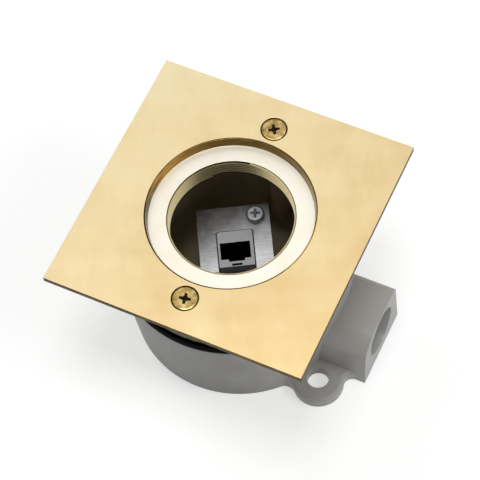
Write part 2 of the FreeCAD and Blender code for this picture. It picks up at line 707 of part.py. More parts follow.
def make_jack_inside():
    """What the housing holds: contact carrier, tails and springs, board, cable block and its cap."""
    carrier = slab("carrier", "carrier_width", CARRIER_FRONT, CARRIER_BACK,
                   f"{CARRIER_TOP} - {JACK_BACK}", JACK_BACK)
    node(carrier, "contact_carrier", "bracket_turn")

    first = f"(-{CONTACT_SPAN} / 2)"
    wire, gap = "contact_wire", "contact_gap"
    tail_back = f"({CARRIER_BACK} + {gap} + {wire})"
    over = f"({CARRIER_TOP} + {gap})"
    tails = new_body("tails")
    sketch = draw_outline(bind(new_sketch(tails, "YZ_Plane", first)), (
        (tail_back, JACK_BACK), (tail_back, f"{over} + {wire}"), (CARRIER_FRONT, f"{over} + {wire}"),
        (CARRIER_FRONT, over), (f"{tail_back} - {wire}", over), (f"{tail_back} - {wire}", JACK_BACK)))
    strand = pad(tails, sketch, wire, midplane=True)
    repeat_along_x(tails, strand, CONTACTS, CONTACT_SPAN)
    node(tails, "contact_tails", "bracket_turn")

    root_y, root_z = f"({CARRIER_FRONT} - {gap})", f"({over} + {wire})"
    run_y, run_z = "(contact_length * sin(contact_slope))", "(contact_length * cos(contact_slope))"
    side_y, side_z = "(contact_wire * cos(contact_slope))", "(contact_wire * sin(contact_slope))"
    springs = new_body("springs")
    sketch = draw_outline(new_sketch(springs, "YZ_Plane", first), (
        (root_y, root_z), (f"{root_y} - {run_y}", f"{root_z} - {run_z}"),
        (f"{root_y} - {run_y} - {side_y}", f"{root_z} - {run_z} + {side_z}"),
        (f"{root_y} - {side_y}", f"{root_z} + {side_z}")))
    strand = pad(springs, sketch, wire, midplane=True)
    repeat_along_x(springs, strand, CONTACTS, CONTACT_SPAN)
    node(springs, "contact_springs", "bracket_turn")

    board = slab("board", "jack_width", f"-{FACE_TOP}", FACE_TOP, "board_thickness", BOARD_BOTTOM)
    node(board, "jack_board", "bracket_turn")

    width, depth = "(jack_width - 2 * idc_inset)", "(jack_height - 2 * idc_inset)"
    block = box("idc_blank", width, depth, "idc_height", z=IDC_BOTTOM)
    tools, forks = [], []
    for row, sign in (("back", ""), ("front", "-")):
        for k in range(SLOTS_PER_ROW):
            x = f"({k} - {(SLOTS_PER_ROW - 1) / 2}) * idc_pitch"
            y = f"{sign}({depth} / 2 - idc_row_depth / 2)"
            tools.append(box(f"idc_slot_{row}_{k}", "idc_slot_width", "idc_row_depth", "idc_slot_depth",
                             x, y, IDC_BOTTOM))
            forks.append(fork(f"idc_fork_{row}_{k}", x, y))
    node(cut("idc", block, *tools), "idc_block", "bracket_turn")
    terminals = doc.addObject("Part::Compound", "idc_forks")
    terminals.Links = forks
    node(terminals, "idc_terminals", "bracket_turn")

    shell = box("cap_blank", f"{width} + 2 * cap_wall", f"{depth} + 2 * cap_wall", "cap_height",
                z=f"{IDC_BOTTOM} - cap_wall")
    hollow = box("cap_hollow", width, depth, "cap_height", z=IDC_BOTTOM)
    node(cut("cap", shell, hollow), "idc_cap", "bracket_turn")


def fork(name, x, y):
    """A cable terminal's flat tine pair, across a slot of the block."""
    low = f"{IDC_BOTTOM} + terminal_inset"
    blade = box(name + "_blade", "idc_slot_width", "terminal_thickness", "idc_slot_depth - terminal_inset",
                x, y, low)
    notch = box(name + "_notch", "terminal_notch", "terminal_thickness", "idc_slot_depth - 2 * terminal_inset",
                x, y, low)
    return cut(name, blade, notch)


def make_latch():
    """The jack's springy latch: a moulded arm that stands off the housing and catches under the bracket."""
    body = new_body("latch")
    root_y = f"(-{FACE_TOP} - running_gap)"
    top = f"({BRACKET_BOTTOM} - seat_gap / 2)"
    outer = "(-window_below - latch_catch)"
    sketch = draw_outline(new_sketch(body, "YZ_Plane"), (
        (root_y, "latch_root_level"), (f"{root_y} - latch_thickness", "latch_root_level"),
        (outer, f"{top} - latch_catch * 2"), (outer, top), (f"{outer} + latch_thickness - latch_lead", top),
        (f"{outer} + latch_thickness", f"{top} - latch_catch * 2"),
        (root_y, "latch_root_level + 2 * latch_thickness")))
    pad(body, sketch, "latch_width", midplane=True)
    return node(body, "jack_latch", "bracket_turn")


def make_earth_terminal():
    """The earth screw and its square clamp plate, on the cast pad."""
    pad_top = "(cup_floor + earth_boss_height)"
    plate = box("earth_square", "earth_plate_side", "earth_plate_side", "earth_plate_thickness",
                "earth_x", "earth_y", pad_top)
    hole = cylinder("earth_hole", "stud_radius + running_gap", "earth_plate_thickness",
                    "earth_x", "earth_y", pad_top)
    node(cut("earth_plate", plate, hole), "earth_clamp")
    seat = f"({pad_top} + earth_plate_thickness)"
    screw = turned("earth_screw_body", (
        ("0", f"{seat} - earth_screw_length"), ("stud_radius - running_gap", f"{seat} - earth_screw_length"),
        ("stud_radius - running_gap", seat), ("pan_head_radius", seat),
        ("pan_head_radius", f"{seat} + pan_head_height / 2"),
        ("pan_crown_radius", f"{seat} + pan_head_height"), ("0", f"{seat} + pan_head_height")))
    place(screw, "earth_x", "earth_y")
    return node(screw, "earth_screw")


make_cup()
make_gasket()
for label, sign in (("1", ""), ("2", "-")):
    make_standoff(f"standoff_{label}", sign)
    make_bracket_screw(f"bracket_screw_{label}", sign)
    make_cover_screw(f"cover_screw_{label}", sign)
make_bracket()
make_jack_housing()
make_jack_inside()
make_latch()
make_earth_terminal()
make_collar()
make_ring_seal()
make_thread_ring()
make_plate()

doc.recompute()
for thing in doc.Objects:
    assert not {"Invalid", "Error"} & set(thing.State), f"{thing.Name}: {thing.State}"
os.makedirs("parts", exist_ok=True)
for thing in nodes:
    assert not thing.Shape.isNull() and thing.Shape.isValid(), thing.Label
    assert thing.Shape.Solids, thing.Label
for thing in nodes:
    thing.Shape.exportStep(f"parts/{thing.Label}.step")
    corners = thing.Shape.BoundBox
    print(f"{thing.Label}: {len(thing.Shape.Solids)} solid(s), {thing.Shape.Volume / 1000:.3f} cm3, "
          f"z {corners.ZMin:.2f} to {corners.ZMax:.2f}")
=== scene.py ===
import json
import math
import bpy
from mathutils import Matrix, Vector

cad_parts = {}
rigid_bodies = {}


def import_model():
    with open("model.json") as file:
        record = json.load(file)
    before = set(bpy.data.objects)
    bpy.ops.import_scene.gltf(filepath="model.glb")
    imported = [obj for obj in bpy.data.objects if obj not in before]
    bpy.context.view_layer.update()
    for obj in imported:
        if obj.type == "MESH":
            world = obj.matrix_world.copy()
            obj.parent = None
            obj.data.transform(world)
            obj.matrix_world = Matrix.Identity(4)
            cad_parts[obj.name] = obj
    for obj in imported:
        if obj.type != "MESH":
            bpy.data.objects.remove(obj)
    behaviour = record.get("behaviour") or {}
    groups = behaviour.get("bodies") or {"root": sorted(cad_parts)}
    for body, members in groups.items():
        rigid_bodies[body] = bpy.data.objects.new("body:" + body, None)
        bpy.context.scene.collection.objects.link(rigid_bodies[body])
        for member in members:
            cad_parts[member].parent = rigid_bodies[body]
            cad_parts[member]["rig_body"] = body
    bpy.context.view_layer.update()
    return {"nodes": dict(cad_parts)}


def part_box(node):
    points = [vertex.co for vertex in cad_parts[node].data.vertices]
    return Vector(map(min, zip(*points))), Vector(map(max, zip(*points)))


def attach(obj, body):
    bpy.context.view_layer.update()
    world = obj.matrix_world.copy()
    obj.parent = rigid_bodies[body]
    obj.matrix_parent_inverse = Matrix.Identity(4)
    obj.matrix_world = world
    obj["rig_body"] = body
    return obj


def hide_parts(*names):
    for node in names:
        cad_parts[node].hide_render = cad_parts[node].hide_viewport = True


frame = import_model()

nodes = frame["nodes"]
scene = bpy.context.scene

# ---- Camera
# A long lens above and in front of the box, looking steeply down through the cover's opening at the
# data jack. It stands about 0.8 m away, and all of the box is in focus.
camera = bpy.data.objects.new("Camera", bpy.data.cameras.new("Camera"))
scene.collection.objects.link(camera)
scene.camera = camera
camera.data.lens = 147.7
camera.data.sensor_width = 36.0
camera.data.clip_end = 20.0
camera_right = Vector((0.9043, 0.4212, -0.0693)).normalized()
camera_back = camera_right.cross(Vector((-0.3396, 0.8082, 0.4811))).normalized()
camera_up = camera_back.cross(camera_right)
camera_place = Vector((0.2075, -0.3261, 0.7430))
camera.matrix_world = Matrix.Translation(camera_place) @ Matrix(
    (camera_right, camera_up, camera_back)).transposed().to_4x4()

# ---- Cast cup
# An aluminium casting in a smooth grey coat: the round cup with its conduit boss, two fixing ears
# and the pillars inside. Mould edges are slightly rounded, and the coat is faintly pebbled.


def linear(code):
    """The shader colour for a hex code."""
    parts = [int(code[k:k + 2], 16) / 255 for k in (0, 2, 4)]
    return [p / 12.92 if p <= 0.04045 else ((p + 0.055) / 1.055) ** 2.4 for p in parts] + [1.0]


def add(tree, kind, **settings):
    """A shader node. A setting is a property, an input's value, or an output to link to that input."""
    made = tree.nodes.new("ShaderNode" + kind)
    for name, value in settings.items():
        if hasattr(made, name):
            setattr(made, name, value)
            continue
        socket = made.inputs[name.replace("_", " ")]
        if isinstance(value, bpy.types.NodeSocket):
            tree.links.new(value, socket)
        else:
            socket.default_value = value
    return made


def new_finish(name, colour, metallic, roughness):
    """A material with a Principled shader, and what is needed to build on it."""
    material = bpy.data.materials.new(name)
    material.use_nodes = True
    tree = material.node_tree
    shader = tree.nodes["Principled BSDF"]
    shader.inputs["Base Color"].default_value = linear(colour)
    shader.inputs["Metallic"].default_value = metallic
    shader.inputs["Roughness"].default_value = roughness
    place = add(tree, "TexCoord").outputs["Object"]
    return material, tree, shader, place


def noise(tree, place, scale, detail=2.0, stretch=(1, 1, 1), turn=0.0):
    """Noise at that scale per metre, turned about Z and drawn out along its own axes by stretch."""
    mapped = add(tree, "Mapping", vector_type="TEXTURE", Vector=place, Rotation=(0, 0, turn), Scale=stretch)
    return add(tree, "TexNoise", Vector=mapped.outputs["Vector"], Scale=scale, Detail=detail).outputs["Fac"]


def shade(tree, amount, *stops):
    """Colours along a ramp: each stop is a position and a hex code."""
    ramp = add(tree, "ValToRGB", Fac=amount)
    band = ramp.color_ramp
    while len(band.elements) < len(stops):
        band.elements.new(0.5)
    for element, (position, colour) in zip(band.elements, stops):
        element.position = position
        element.color = linear(colour)
    return ramp.outputs["Color"]


def span(tree, amount, low, high):
    """A 0 to 1 value, carried over to a span of numbers."""
    return add(tree, "MapRange", Value=amount, To_Min=low, To_Max=high).outputs["Result"]


def roughen(tree, shader, height, distance, strength=1.0):
    """Bumps in the surface, with their depth in metres."""
    bump = add(tree, "Bump", Height=height, Distance=distance, Strength=strength)
    tree.links.new(bump.outputs["Normal"], shader.inputs["Normal"])


def dress(piece, material):
    """Gives a piece one finish all over."""
    piece.data.materials.clear()
    piece.data.materials.append(material)


def edit(piece):
    """Goes into edit mode on one piece with all of it selected."""
    bpy.ops.object.select_all(action="DESELECT")
    bpy.context.view_layer.objects.active = piece
    piece.select_set(True)
    bpy.ops.object.mode_set(mode="EDIT")
    bpy.ops.mesh.select_all(action="SELECT")


def finish_edges(piece, width, segments=2, sharp=30.0):
    """Rounds the sharp edges and shades the piece smooth, with its broad faces kept flat."""
    bevel = piece.modifiers.new("edges", "BEVEL")
    bevel.width = width
    bevel.segments = segments
    bevel.limit_method = "ANGLE"
    bevel.angle_limit = math.radians(sharp)
    bevel.use_clamp_overlap = True
    bpy.ops.object.select_all(action="DESELECT")
    bpy.context.view_layer.objects.active = piece
    piece.select_set(True)
    bpy.ops.object.modifier_apply(modifier=bevel.name)
    bpy.ops.object.shade_smooth_by_angle(angle=math.radians(sharp))
    level = piece.modifiers.new("level", "WEIGHTED_NORMAL")
    level.keep_sharp = True
    bpy.ops.object.modifier_apply(modifier=level.name)


def pick(piece, wanted):
    """Goes into edit mode with only the corners that pass the test selected."""
    edit(piece)
    bpy.ops.mesh.select_all(action="DESELECT")
    bpy.ops.object.mode_set(mode="OBJECT")
    for corner in piece.data.vertices:
        corner.select = wanted(corner.co)
    bpy.ops.object.mode_set(mode="EDIT")


def shift(piece, offset, wanted):
    """Moves the corners that pass the test."""
    pick(piece, wanted)
    bpy.ops.transform.translate(value=offset)
    bpy.ops.object.mode_set(mode="OBJECT")


def soft_edged(node, width, name, moves=()):
    """Stands in for a CAD node with its own shape, its mould edges rounded after any moves."""
    source = nodes[node]
    piece = bpy.data.objects.new(name, source.data.copy())
    scene.collection.objects.link(piece)
    edit(piece)
    bpy.ops.mesh.remove_doubles(threshold=1e-6)
    bpy.ops.mesh.customdata_custom_splitnormals_clear()
    bpy.ops.mesh.dissolve_limited(angle_limit=math.radians(0.5))
    bpy.ops.object.mode_set(mode="OBJECT")
    for offset, wanted in moves:
        shift(piece, offset, wanted)
    finish_edges(piece, width)
    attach(piece, source["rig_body"])
    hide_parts(node)
    return piece


def drift(tree, place, direction, cloud, share):
    """A slow change over the piece in that direction, with a share of a pattern's clouds."""
    reach = add(tree, "VectorMath", operation="DOT_PRODUCT")
    tree.links.new(place, reach.inputs[0])
    reach.inputs[1].default_value = direction
    mixed = add(tree, "Math", operation="MULTIPLY_ADD")
    tree.links.new(cloud, mixed.inputs[0])
    mixed.inputs[1].default_value = share
    tree.links.new(reach.outputs["Value"], mixed.inputs[2])
    return mixed.outputs["Value"]


# Sprayed satin coat: cloudy, and painted a little paler towards the conduit boss and darker away from it,
# as painted light. Its pebbles are drawn 0.7 mm across, coarse enough to show.
casting, tree, shader, place = new_finish("grey_cast_coat", "9a9997", 0.0, 0.42)
cloud_and_painted_light = drift(tree, place, (12, 0, 0), noise(tree, place, 45, 4.0), 0.5)
tree.links.new(shade(tree, cloud_and_painted_light, (0.1, "868584"), (0.45, "888785"), (0.75, "adaca9")),
               shader.inputs["Base Color"])
tree.links.new(span(tree, noise(tree, place, 260, 3.0), 0.34, 0.5), shader.inputs["Roughness"])
roughen(tree, shader, noise(tree, place, 1400, 3.0), 0.00006, 0.5)

# The coat inside, cloudy, and painted warmer than the outside as painted light thrown back off the brass
inside_coat_painted_warmth, tree, shader, place = new_finish("inside_coat_painted_warmth", "b0a084", 0.0, 0.5)
cloud = noise(tree, place, 60, 4.0)
tree.links.new(shade(tree, cloud, (0.3, "a2937a"), (0.7, "bdac8f")), shader.inputs["Base Color"])
roughen(tree, shader, noise(tree, place, 1400, 3.0), 0.00006, 0.5)


def dress_where(piece, material, wanted):
    """Gives a second finish to the faces that pass the test."""
    piece.data.materials.append(material)
    slot = len(piece.data.materials) - 1
    for face in piece.data.polygons:
        if wanted(face.center, face.normal):
            face.material_index = slot


box_body = soft_edged("box_body", 0.0008, "cast_cup")
dress(box_body, casting)
cup_floor, cup_rim, inner_radius, pillar_reach = 0.0045, 0.0450, 0.0462, 0.041
near = 0.0001
# Painted warm light on the cup's inside faces
dress_where(box_body, inside_coat_painted_warmth, lambda spot, way: cup_floor - near < spot.z < cup_rim - 2 * near
            and spot.xy.length < inner_radius
            and (way.z > 0.5 or way.xy.dot(spot.xy) < 0 or spot.xy.length < pillar_reach))
# Bare bored aluminium in the conduit's mouth, with fine marks from the cutter
bare_metal, tree, shader, place = new_finish("bored_aluminium", "cfcfcd", 0.4, 0.38)
tree.links.new(span(tree, noise(tree, place, 900, 3.0, (0.3, 1, 1)), 0.3, 0.5), shader.inputs["Roughness"])
conduit_level, conduit_reach = 0.0162, 0.0107
dress_where(box_body, bare_metal, lambda spot, way: spot.x > inner_radius and abs(way.x) < 0.5
            and math.hypot(spot.y, spot.z - conduit_level) < conduit_reach)

# ---- Rim gasket
# A flat ring of soft black rubber, cut with a die, with an eye round each cover screw. It lies on the
# cup's rim, nearly flush with the wall, and the collar presses on it.
rubber, tree, shader, place = new_finish("black_rubber", "070707", 0.0, 0.75)
shader.inputs["Specular IOR Level"].default_value = 0.02
grain = noise(tree, place, 900, 3.0)
tree.links.new(shade(tree, grain, (0.3, "020202"), (0.75, "070606")), shader.inputs["Base Color"])
roughen(tree, shader, grain, 0.00004)
gasket_edge, spread = 0.048, 1.014
gasket = soft_edged("rim_gasket", 0.0002, "cut_gasket")
pick(gasket, lambda spot: spot.xy.length > gasket_edge)
bpy.ops.transform.resize(value=(spread, spread, 1), center_override=(0, 0, 0))
bpy.ops.object.mode_set(mode="OBJECT")
dress(gasket, rubber)

# ---- Hexagonal pillars
# Two brass pillars, turned from hexagon bar and left bright. They screw into the cup's posts and carry
# the bracket.
pillar_brass, tree, shader, place = new_finish("pillar_brass", "cfae6c", 1.0, 0.32)
tree.links.new(span(tree, noise(tree, place, 900, 2.0, (1, 1, 10)), 0.24, 0.42), shader.inputs["Roughness"])
for name in ("standoff_1", "standoff_2"):
    dress(nodes[name], pillar_brass)

# ---- Bracket
# Flat steel, sheared and punched, with a window for the jack and a hole for each screw. It was brushed
# across before cutting. The marks are drawn a few times coarser than real ones, so that they show.
bracket_turn = math.radians(29.8)
across = Vector((math.cos(bracket_turn), math.sin(bracket_turn), 0))
along = Vector((-math.sin(bracket_turn), math.cos(bracket_turn), 0))
steel, tree, shader, place = new_finish("brushed_steel", "8e8e90", 1.0, 0.4)
streaks = noise(tree, place, 2400, 3.0, (14, 1, 1), bracket_turn)
patches = noise(tree, place, 160, 3.0, (1, 2, 1), bracket_turn)
# Painted shade from the cover plate: the steel darkens towards minus x and plus y, with patches in it
painted_shade_and_patches = drift(tree, place, along * 26 - across * 9, patches, 0.5)
tint = add(tree, "MixRGB", blend_type="MULTIPLY", Fac=1.0)
tree.links.new(shade(tree, painted_shade_and_patches, (0.1, "e0e0e0"), (0.4, "b0afb0"), (0.78, "6c6865")), tint.inputs["Color1"])
tree.links.new(shade(tree, streaks, (0.3, "dadada"), (0.7, "ffffff")), tint.inputs["Color2"])
tree.links.new(tint.outputs["Color"], shader.inputs["Base Color"])
tree.links.new(span(tree, streaks, 0.34, 0.5), shader.inputs["Roughness"])
roughen(tree, shader, streaks, 0.00002)
window_reach, window_side, bracket_end = 0.008, 0.0060, 0.0185
window_levels, window_top = (-0.0125, 0.0125), (0.0070, 0.0095)
corner_foot, corner_head, corner_side = (0.0069, 0.0072), (0.0083, 0.0086), 0.0055
longer, wider, higher, tighter = 0.0012, 0.00025, 0.0003, 0.0005


def level_with(spot, low, high, side=window_reach):
    """Whether a point lies between two levels along the bracket, and within a reach of its middle."""
    return low < spot.dot(along) < high and abs(spot.dot(across)) < side


def right_of(spot, reach):
    """Whether a point lies further across the bracket than that, to the right."""
    return spot.dot(across) > reach


def left_of(spot, reach):
    """The same to the left."""
    return spot.dot(across) < -reach


bracket = soft_edged("bracket_plate", 0.00015, "jack_bracket", (
    (along * tighter, lambda spot: level_with(spot, *corner_foot)),
    (across * tighter, lambda spot: level_with(spot, *corner_head) and right_of(spot, corner_side)),
    (across * -tighter, lambda spot: level_with(spot, *corner_head) and left_of(spot, corner_side)),
    (along * longer, lambda spot: spot.dot(along) > bracket_end),
    (along * -longer, lambda spot: spot.dot(along) < -bracket_end),
    (across * wider, lambda spot: level_with(spot, *window_levels) and right_of(spot, window_side)),
    (across * -wider, lambda spot: level_with(spot, *window_levels) and left_of(spot, window_side)),
    (along * higher, lambda spot: level_with(spot, *window_top))))
dress(bracket, steel)

# ---- Bracket screws
# Two pan-head steel screws with cross recesses, cold headed and zinc plated. They hold the bracket on
# its pillars. The plating is dull, with faint patches, and the recesses are painted a darker grey as
# painted shade.
zinc, tree, shader, place = new_finish("zinc_plate", "b8b9bb", 1.0, 0.5)
patches = noise(tree, place, 700, 4.0)
tree.links.new(shade(tree, patches, (0.3, "a6a7aa"), (0.7, "cacacc")), shader.inputs["Base Color"])
tree.links.new(span(tree, patches, 0.44, 0.58), shader.inputs["Roughness"])
# Painted shade in the cross recesses: a darker, non-metallic grey
zinc_shade = new_finish("zinc_recess_painted_shade", "6c6d70", 0.0, 0.5)[0]


def draw_out(centre, rings):
    """Carries the selected ring on through each further radius and level, about a vertical axis."""
    (radius, level), *others = rings
    for new_radius, new_level in others:
        bpy.ops.mesh.extrude_region_move(TRANSFORM_OT_translate={"value": (0, 0, new_level - level)})
        share = new_radius / radius
        bpy.ops.transform.resize(value=(share, share, 1), center_override=(*centre, new_level))
        radius, level = new_radius, new_level


def lathe(name, centre, rings, sides=64):
    """A solid turned about a vertical axis, from a disc at the first ring."""
    radius, level = rings[0]
    bpy.ops.object.select_all(action="DESELECT")
    bpy.ops.mesh.primitive_circle_add(vertices=sides, radius=radius, fill_type="NGON",
                                      location=(*centre, level))
    piece = bpy.context.object
    piece.name = name
    edit(piece)
    draw_out(centre, rings)
    bpy.ops.mesh.select_all(action="SELECT")
    bpy.ops.mesh.normals_make_consistent(inside=False)
    bpy.ops.object.mode_set(mode="OBJECT")
    settle(piece)
    return piece


def settle(piece):
    """Puts a piece's place into its mesh."""
    bpy.ops.object.select_all(action="DESELECT")
    bpy.context.view_layer.objects.active = piece
    piece.select_set(True)
    bpy.ops.object.transform_apply(location=True, rotation=True, scale=True)


def punch_cross(piece, centre, top, reach, thickness, depth, turn, inside):
    """Sinks a cross recess into a screw's head: two tapered blades and a round core."""
    bpy.ops.object.select_all(action="DESELECT")
    blade_taper, tools = 0.45, []
    for quarter in (0, math.pi / 2):
        bpy.ops.mesh.primitive_cube_add(size=1, location=(*centre, top - depth / 2),
                                        rotation=(0, 0, turn + quarter), scale=(2 * reach, thickness, depth))
        blade = bpy.context.object
        settle(blade)
        pick(blade, lambda spot: spot.z < top - depth / 2)
        bpy.ops.transform.resize(value=(blade_taper, blade_taper, 1), center_override=(*centre, top - depth))
        bpy.ops.object.mode_set(mode="OBJECT")
        pick(blade, lambda spot: spot.z > top - depth / 2)
        bpy.ops.mesh.extrude_region_move(TRANSFORM_OT_translate={"value": (0, 0, depth)})
        bpy.ops.object.mode_set(mode="OBJECT")
        tools.append(blade)
    core, core_tip = reach * 0.52, reach * 0.15
    core_rings = (core_tip, top - depth * 1.05), (core, top), (core, top + depth)
    tools.append(lathe("core", centre, core_rings, 24))
    for tool in tools:
        dress(tool, inside)
        sink = piece.modifiers.new("recess", "BOOLEAN")
        sink.object = tool
        sink.operation = "DIFFERENCE"
        sink.solver = "EXACT"
        sink.material_mode = "TRANSFER"
        bpy.context.view_layer.objects.active = piece
        bpy.ops.object.modifier_apply(modifier=sink.name)
        bpy.data.objects.remove(tool)


def middle(node):
    """The centre of a CAD node's box across the frame, and its lowest and highest level."""
    low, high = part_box(node)
    return ((low.x + high.x) / 2, (low.y + high.y) / 2), low.z, high.z


pan_radius, pan_height, pan_crown, pan_shank = 0.0038, 0.0026, 0.0028, 0.00195
for number, turn in ((1, -0.08), (2, 0.9)):
    centre, low, high = middle(f"bracket_screw_{number}")
    screw = lathe(f"pan_screw_{number}", centre, (
        (pan_crown, high), (pan_crown + 0.0005, high - 0.0001), (pan_radius - 0.00015, high - 0.0005),
        (pan_radius, high - 0.0009), (pan_radius - 0.0001, high - pan_height),
        (pan_shank, high - pan_height), (pan_shank, low)))
    dress(screw, zinc)
    punch_cross(screw, centre, high, 0.0021, 0.0010, 0.0010, bracket_turn + turn, zinc_shade)
    finish_edges(screw, 0.00006, 1, 40)
    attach(screw, "base")
    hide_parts(f"bracket_screw_{number}")

# ---- Data jack
# A keystone jack snapped into the bracket's window: a grey moulded housing and a springy latch painted
# black as painted shade, eight contacts on a black carrier, and a circuit board and cable block behind.

# Moulded ABS: pale grey and matt, with a fine spark-eroded grain
jack_grey, tree, shader, place = new_finish("jack_grey", "c0bfc0", 0.0, 0.45)
mist = noise(tree, place, 1200, 3.0)
tree.links.new(shade(tree, mist, (0.3, "b8b7b9"), (0.7, "c8c7c8")), shader.inputs["Base Color"])
roughen(tree, shader, mist, 0.00002)
chamfer_foot, housing_top, slot_levels = (0.0069, 0.0072), (0.0081, 0.0084), (-0.0072, -0.0059)
comb_foot, port_foot, port_levels = (-0.0055, -0.0052), (-0.0051, -0.0037), (-0.0050, 0.0031)
slot_reach, comb_reach, port_reach = 0.0022, 0.0034, 0.0061
chamfer_outside, chamfer_inside, port_side = 0.007, 0.0055, 0.0058
slot_drop, comb_drop, port_drop, port_widening = 0.0008, 0.0005, 0.0009, 0.0005
housing_moves = (
    (along * tighter, lambda spot: level_with(spot, *chamfer_foot)
     and abs(spot.dot(across)) > chamfer_outside),
    (across * tighter, lambda spot: level_with(spot, *housing_top) and right_of(spot, chamfer_inside)),
    (across * -tighter, lambda spot: level_with(spot, *housing_top) and left_of(spot, chamfer_inside)),
    (along * -slot_drop, lambda spot: level_with(spot, *slot_levels, slot_reach)),
    (along * -comb_drop, lambda spot: level_with(spot, *comb_foot, comb_reach)),
    (along * -port_drop, lambda spot: level_with(spot, *port_foot, port_reach)),
    (across * -port_widening, lambda spot: level_with(spot, *port_levels, port_reach)
     and left_of(spot, port_side)))
for name, width, moves in (("jack_housing", 0.00012, housing_moves), ("jack_latch", 0.0002, ()),
                           ("idc_cap", 0.0003, ())):
    piece = soft_edged(name, width, "moulded_" + name, moves)
    dress(piece, jack_grey)

# Moulded black ABS, matt, with next to no shine: the carrier's and cable block's own colour, and
# painted shade on the latch and on the housing's faces inside the port
jack_black_and_painted_shade, tree, shader, place = new_finish("jack_black_and_painted_shade", "080706", 0.0, 0.6)
shader.inputs["Specular IOR Level"].default_value = 0.1
roughen(tree, shader, noise(tree, place, 1500, 2.0), 0.00002)
for name in ("contact_carrier", "idc_block"):
    dress(nodes[name], jack_black_and_painted_shade)
# Painted shade: the latch is dressed black.
dress(bpy.data.objects["moulded_jack_latch"], jack_black_and_painted_shade)
# Painted shade: the housing's faces near its middle and below its front face are dressed black.
inside_reach, inside_top = 0.0072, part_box("jack_housing")[1].z - 0.0003
dress_where(bpy.data.objects["moulded_jack_housing"], jack_black_and_painted_shade,
            lambda spot, way: spot.xy.length < inside_reach and spot.z < inside_top)

# Thin gold over phosphor bronze, painted dull and reddish as painted shade in the port
gold, tree, shader, place = new_finish("contact_gold", "7a4a2c", 1.0, 0.35)
tree.links.new(span(tree, noise(tree, place, 2500, 2.0), 0.22, 0.45), shader.inputs["Roughness"])
for name in ("contact_tails", "contact_springs", "idc_terminals"):
    dress(nodes[name], gold)

# Glass-epoxy board under green solder resist
board, tree, shader, place = new_finish("board_green", "1c4a28", 0.0, 0.4)
tree.links.new(shade(tree, noise(tree, place, 500, 2.0), (0.4, "17401f"), (0.6, "225531")),
               shader.inputs["Base Color"])
dress(nodes["jack_board"], board)

# ---- Earth terminal
# A square clamp plate and a pan-head screw, both zinc-plated steel. The screw holds the clamp down on
# the cast pad in the cup's floor, with the earth wire under it.
for name in ("earth_clamp", "earth_screw"):
    dress(nodes[name], zinc)

# ---- Collar
# The same grey casting as the cup, machined flat on both faces. It stands on the gasket and carries the
# threaded ring on a rubber seal, and the cover screws clamp it all down.
collar = soft_edged("collar_ring", 0.0003, "cast_collar")
dress(collar, casting)
dress(nodes["ring_seal"], rubber)

# ---- Threaded ring
# Turned brass, pressed up under the plate: a bright faced ledge for the cap's flange, a thin rim that
# stands in the plate's opening, and a neck with a cut thread for the cap.

# Faced brass, painted nearly white as a painted highlight, with tool marks round the axis, drawn wider
# apart than real ones
ring_brass_and_sheen, tree, shader, place = new_finish("faced_brass_painted_highlight", "f7f1e1", 1.0, 0.46)
marks = add(tree, "TexWave", Vector=place, wave_type="RINGS", rings_direction="Z", Scale=160.0,
            Distortion=2.0, Detail=2.0)
tree.links.new(span(tree, marks.outputs["Fac"], 0.43, 0.49), shader.inputs["Roughness"])
tree.links.new(shade(tree, noise(tree, place, 90, 4.0), (0.3, "f8f0dc"), (0.7, "fcf8ec")),
               shader.inputs["Base Color"])
# The turned wall, smoother and darker, with a painted reflection: dark brown and golden bands that change
# round the ring, mixed with cloudy patches
wall_brass, tree, shader, place = new_finish("turned_wall", "ac8a4e", 1.0, 0.24)
painted_reflection_and_cloud = drift(tree, place, (3, 14, 0), noise(tree, place, 140, 4.0, (1, 1, 0.2)), 0.5)
tree.links.new(shade(tree, painted_reflection_and_cloud, (0.05, "4c3a18"), (0.25, "c89a52"), (0.5, "9a7c44"), (0.75, "6f5c30")),
               shader.inputs["Base Color"])
# Painted shade: the neck's bore between the thread's turns is dark brown
root_painted_shade = new_finish("thread_root", "3c2e14", 1.0, 0.5)[0]
ring_low, ring_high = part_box("thread_ring")
neck_bore, thread_depth, thread_pitch, thread_turns = 0.0251, 0.0007, 0.0014, 5.9
# The cut thread: painted bright on its crests and dark brown towards its roots, as painted shade
thread_brass, tree, shader, place = new_finish("thread_flank", "d6c493", 1.0, 0.3)
flat_place = add(tree, "VectorMath", operation="MULTIPLY")
tree.links.new(place, flat_place.inputs[0])
flat_place.inputs[1].default_value = (1, 1, 0)
radius = add(tree, "VectorMath", operation="LENGTH")
tree.links.new(flat_place.outputs["Vector"], radius.inputs[0])
groove_painted_shade = add(tree, "MapRange", Value=radius.outputs["Value"], From_Min=neck_bore,
             From_Max=neck_bore + thread_depth)
tree.links.new(shade(tree, groove_painted_shade.outputs["Result"], (0.0, "efe0b4"), (0.45, "c9b682"), (0.9, "3f3218")),
               shader.inputs["Base Color"])
neck_outside, ledge_level, flange_underside = 0.0283, 0.0675, 0.0640
opening_radius, rim_gap, rim_width, rim_drop, wall_taper = 0.0343, 0.0001, 0.0004, 0.00015, 0.0006
flange_radius, mouth_bevel, ledge_inside, ledge_bevel = ring_high.x, 0.0003, neck_bore + 0.00075, 0.0002
rim_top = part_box("cover_plate")[1].z - rim_drop
rim_outside = opening_radius - rim_gap
rim_inside = rim_outside - rim_width


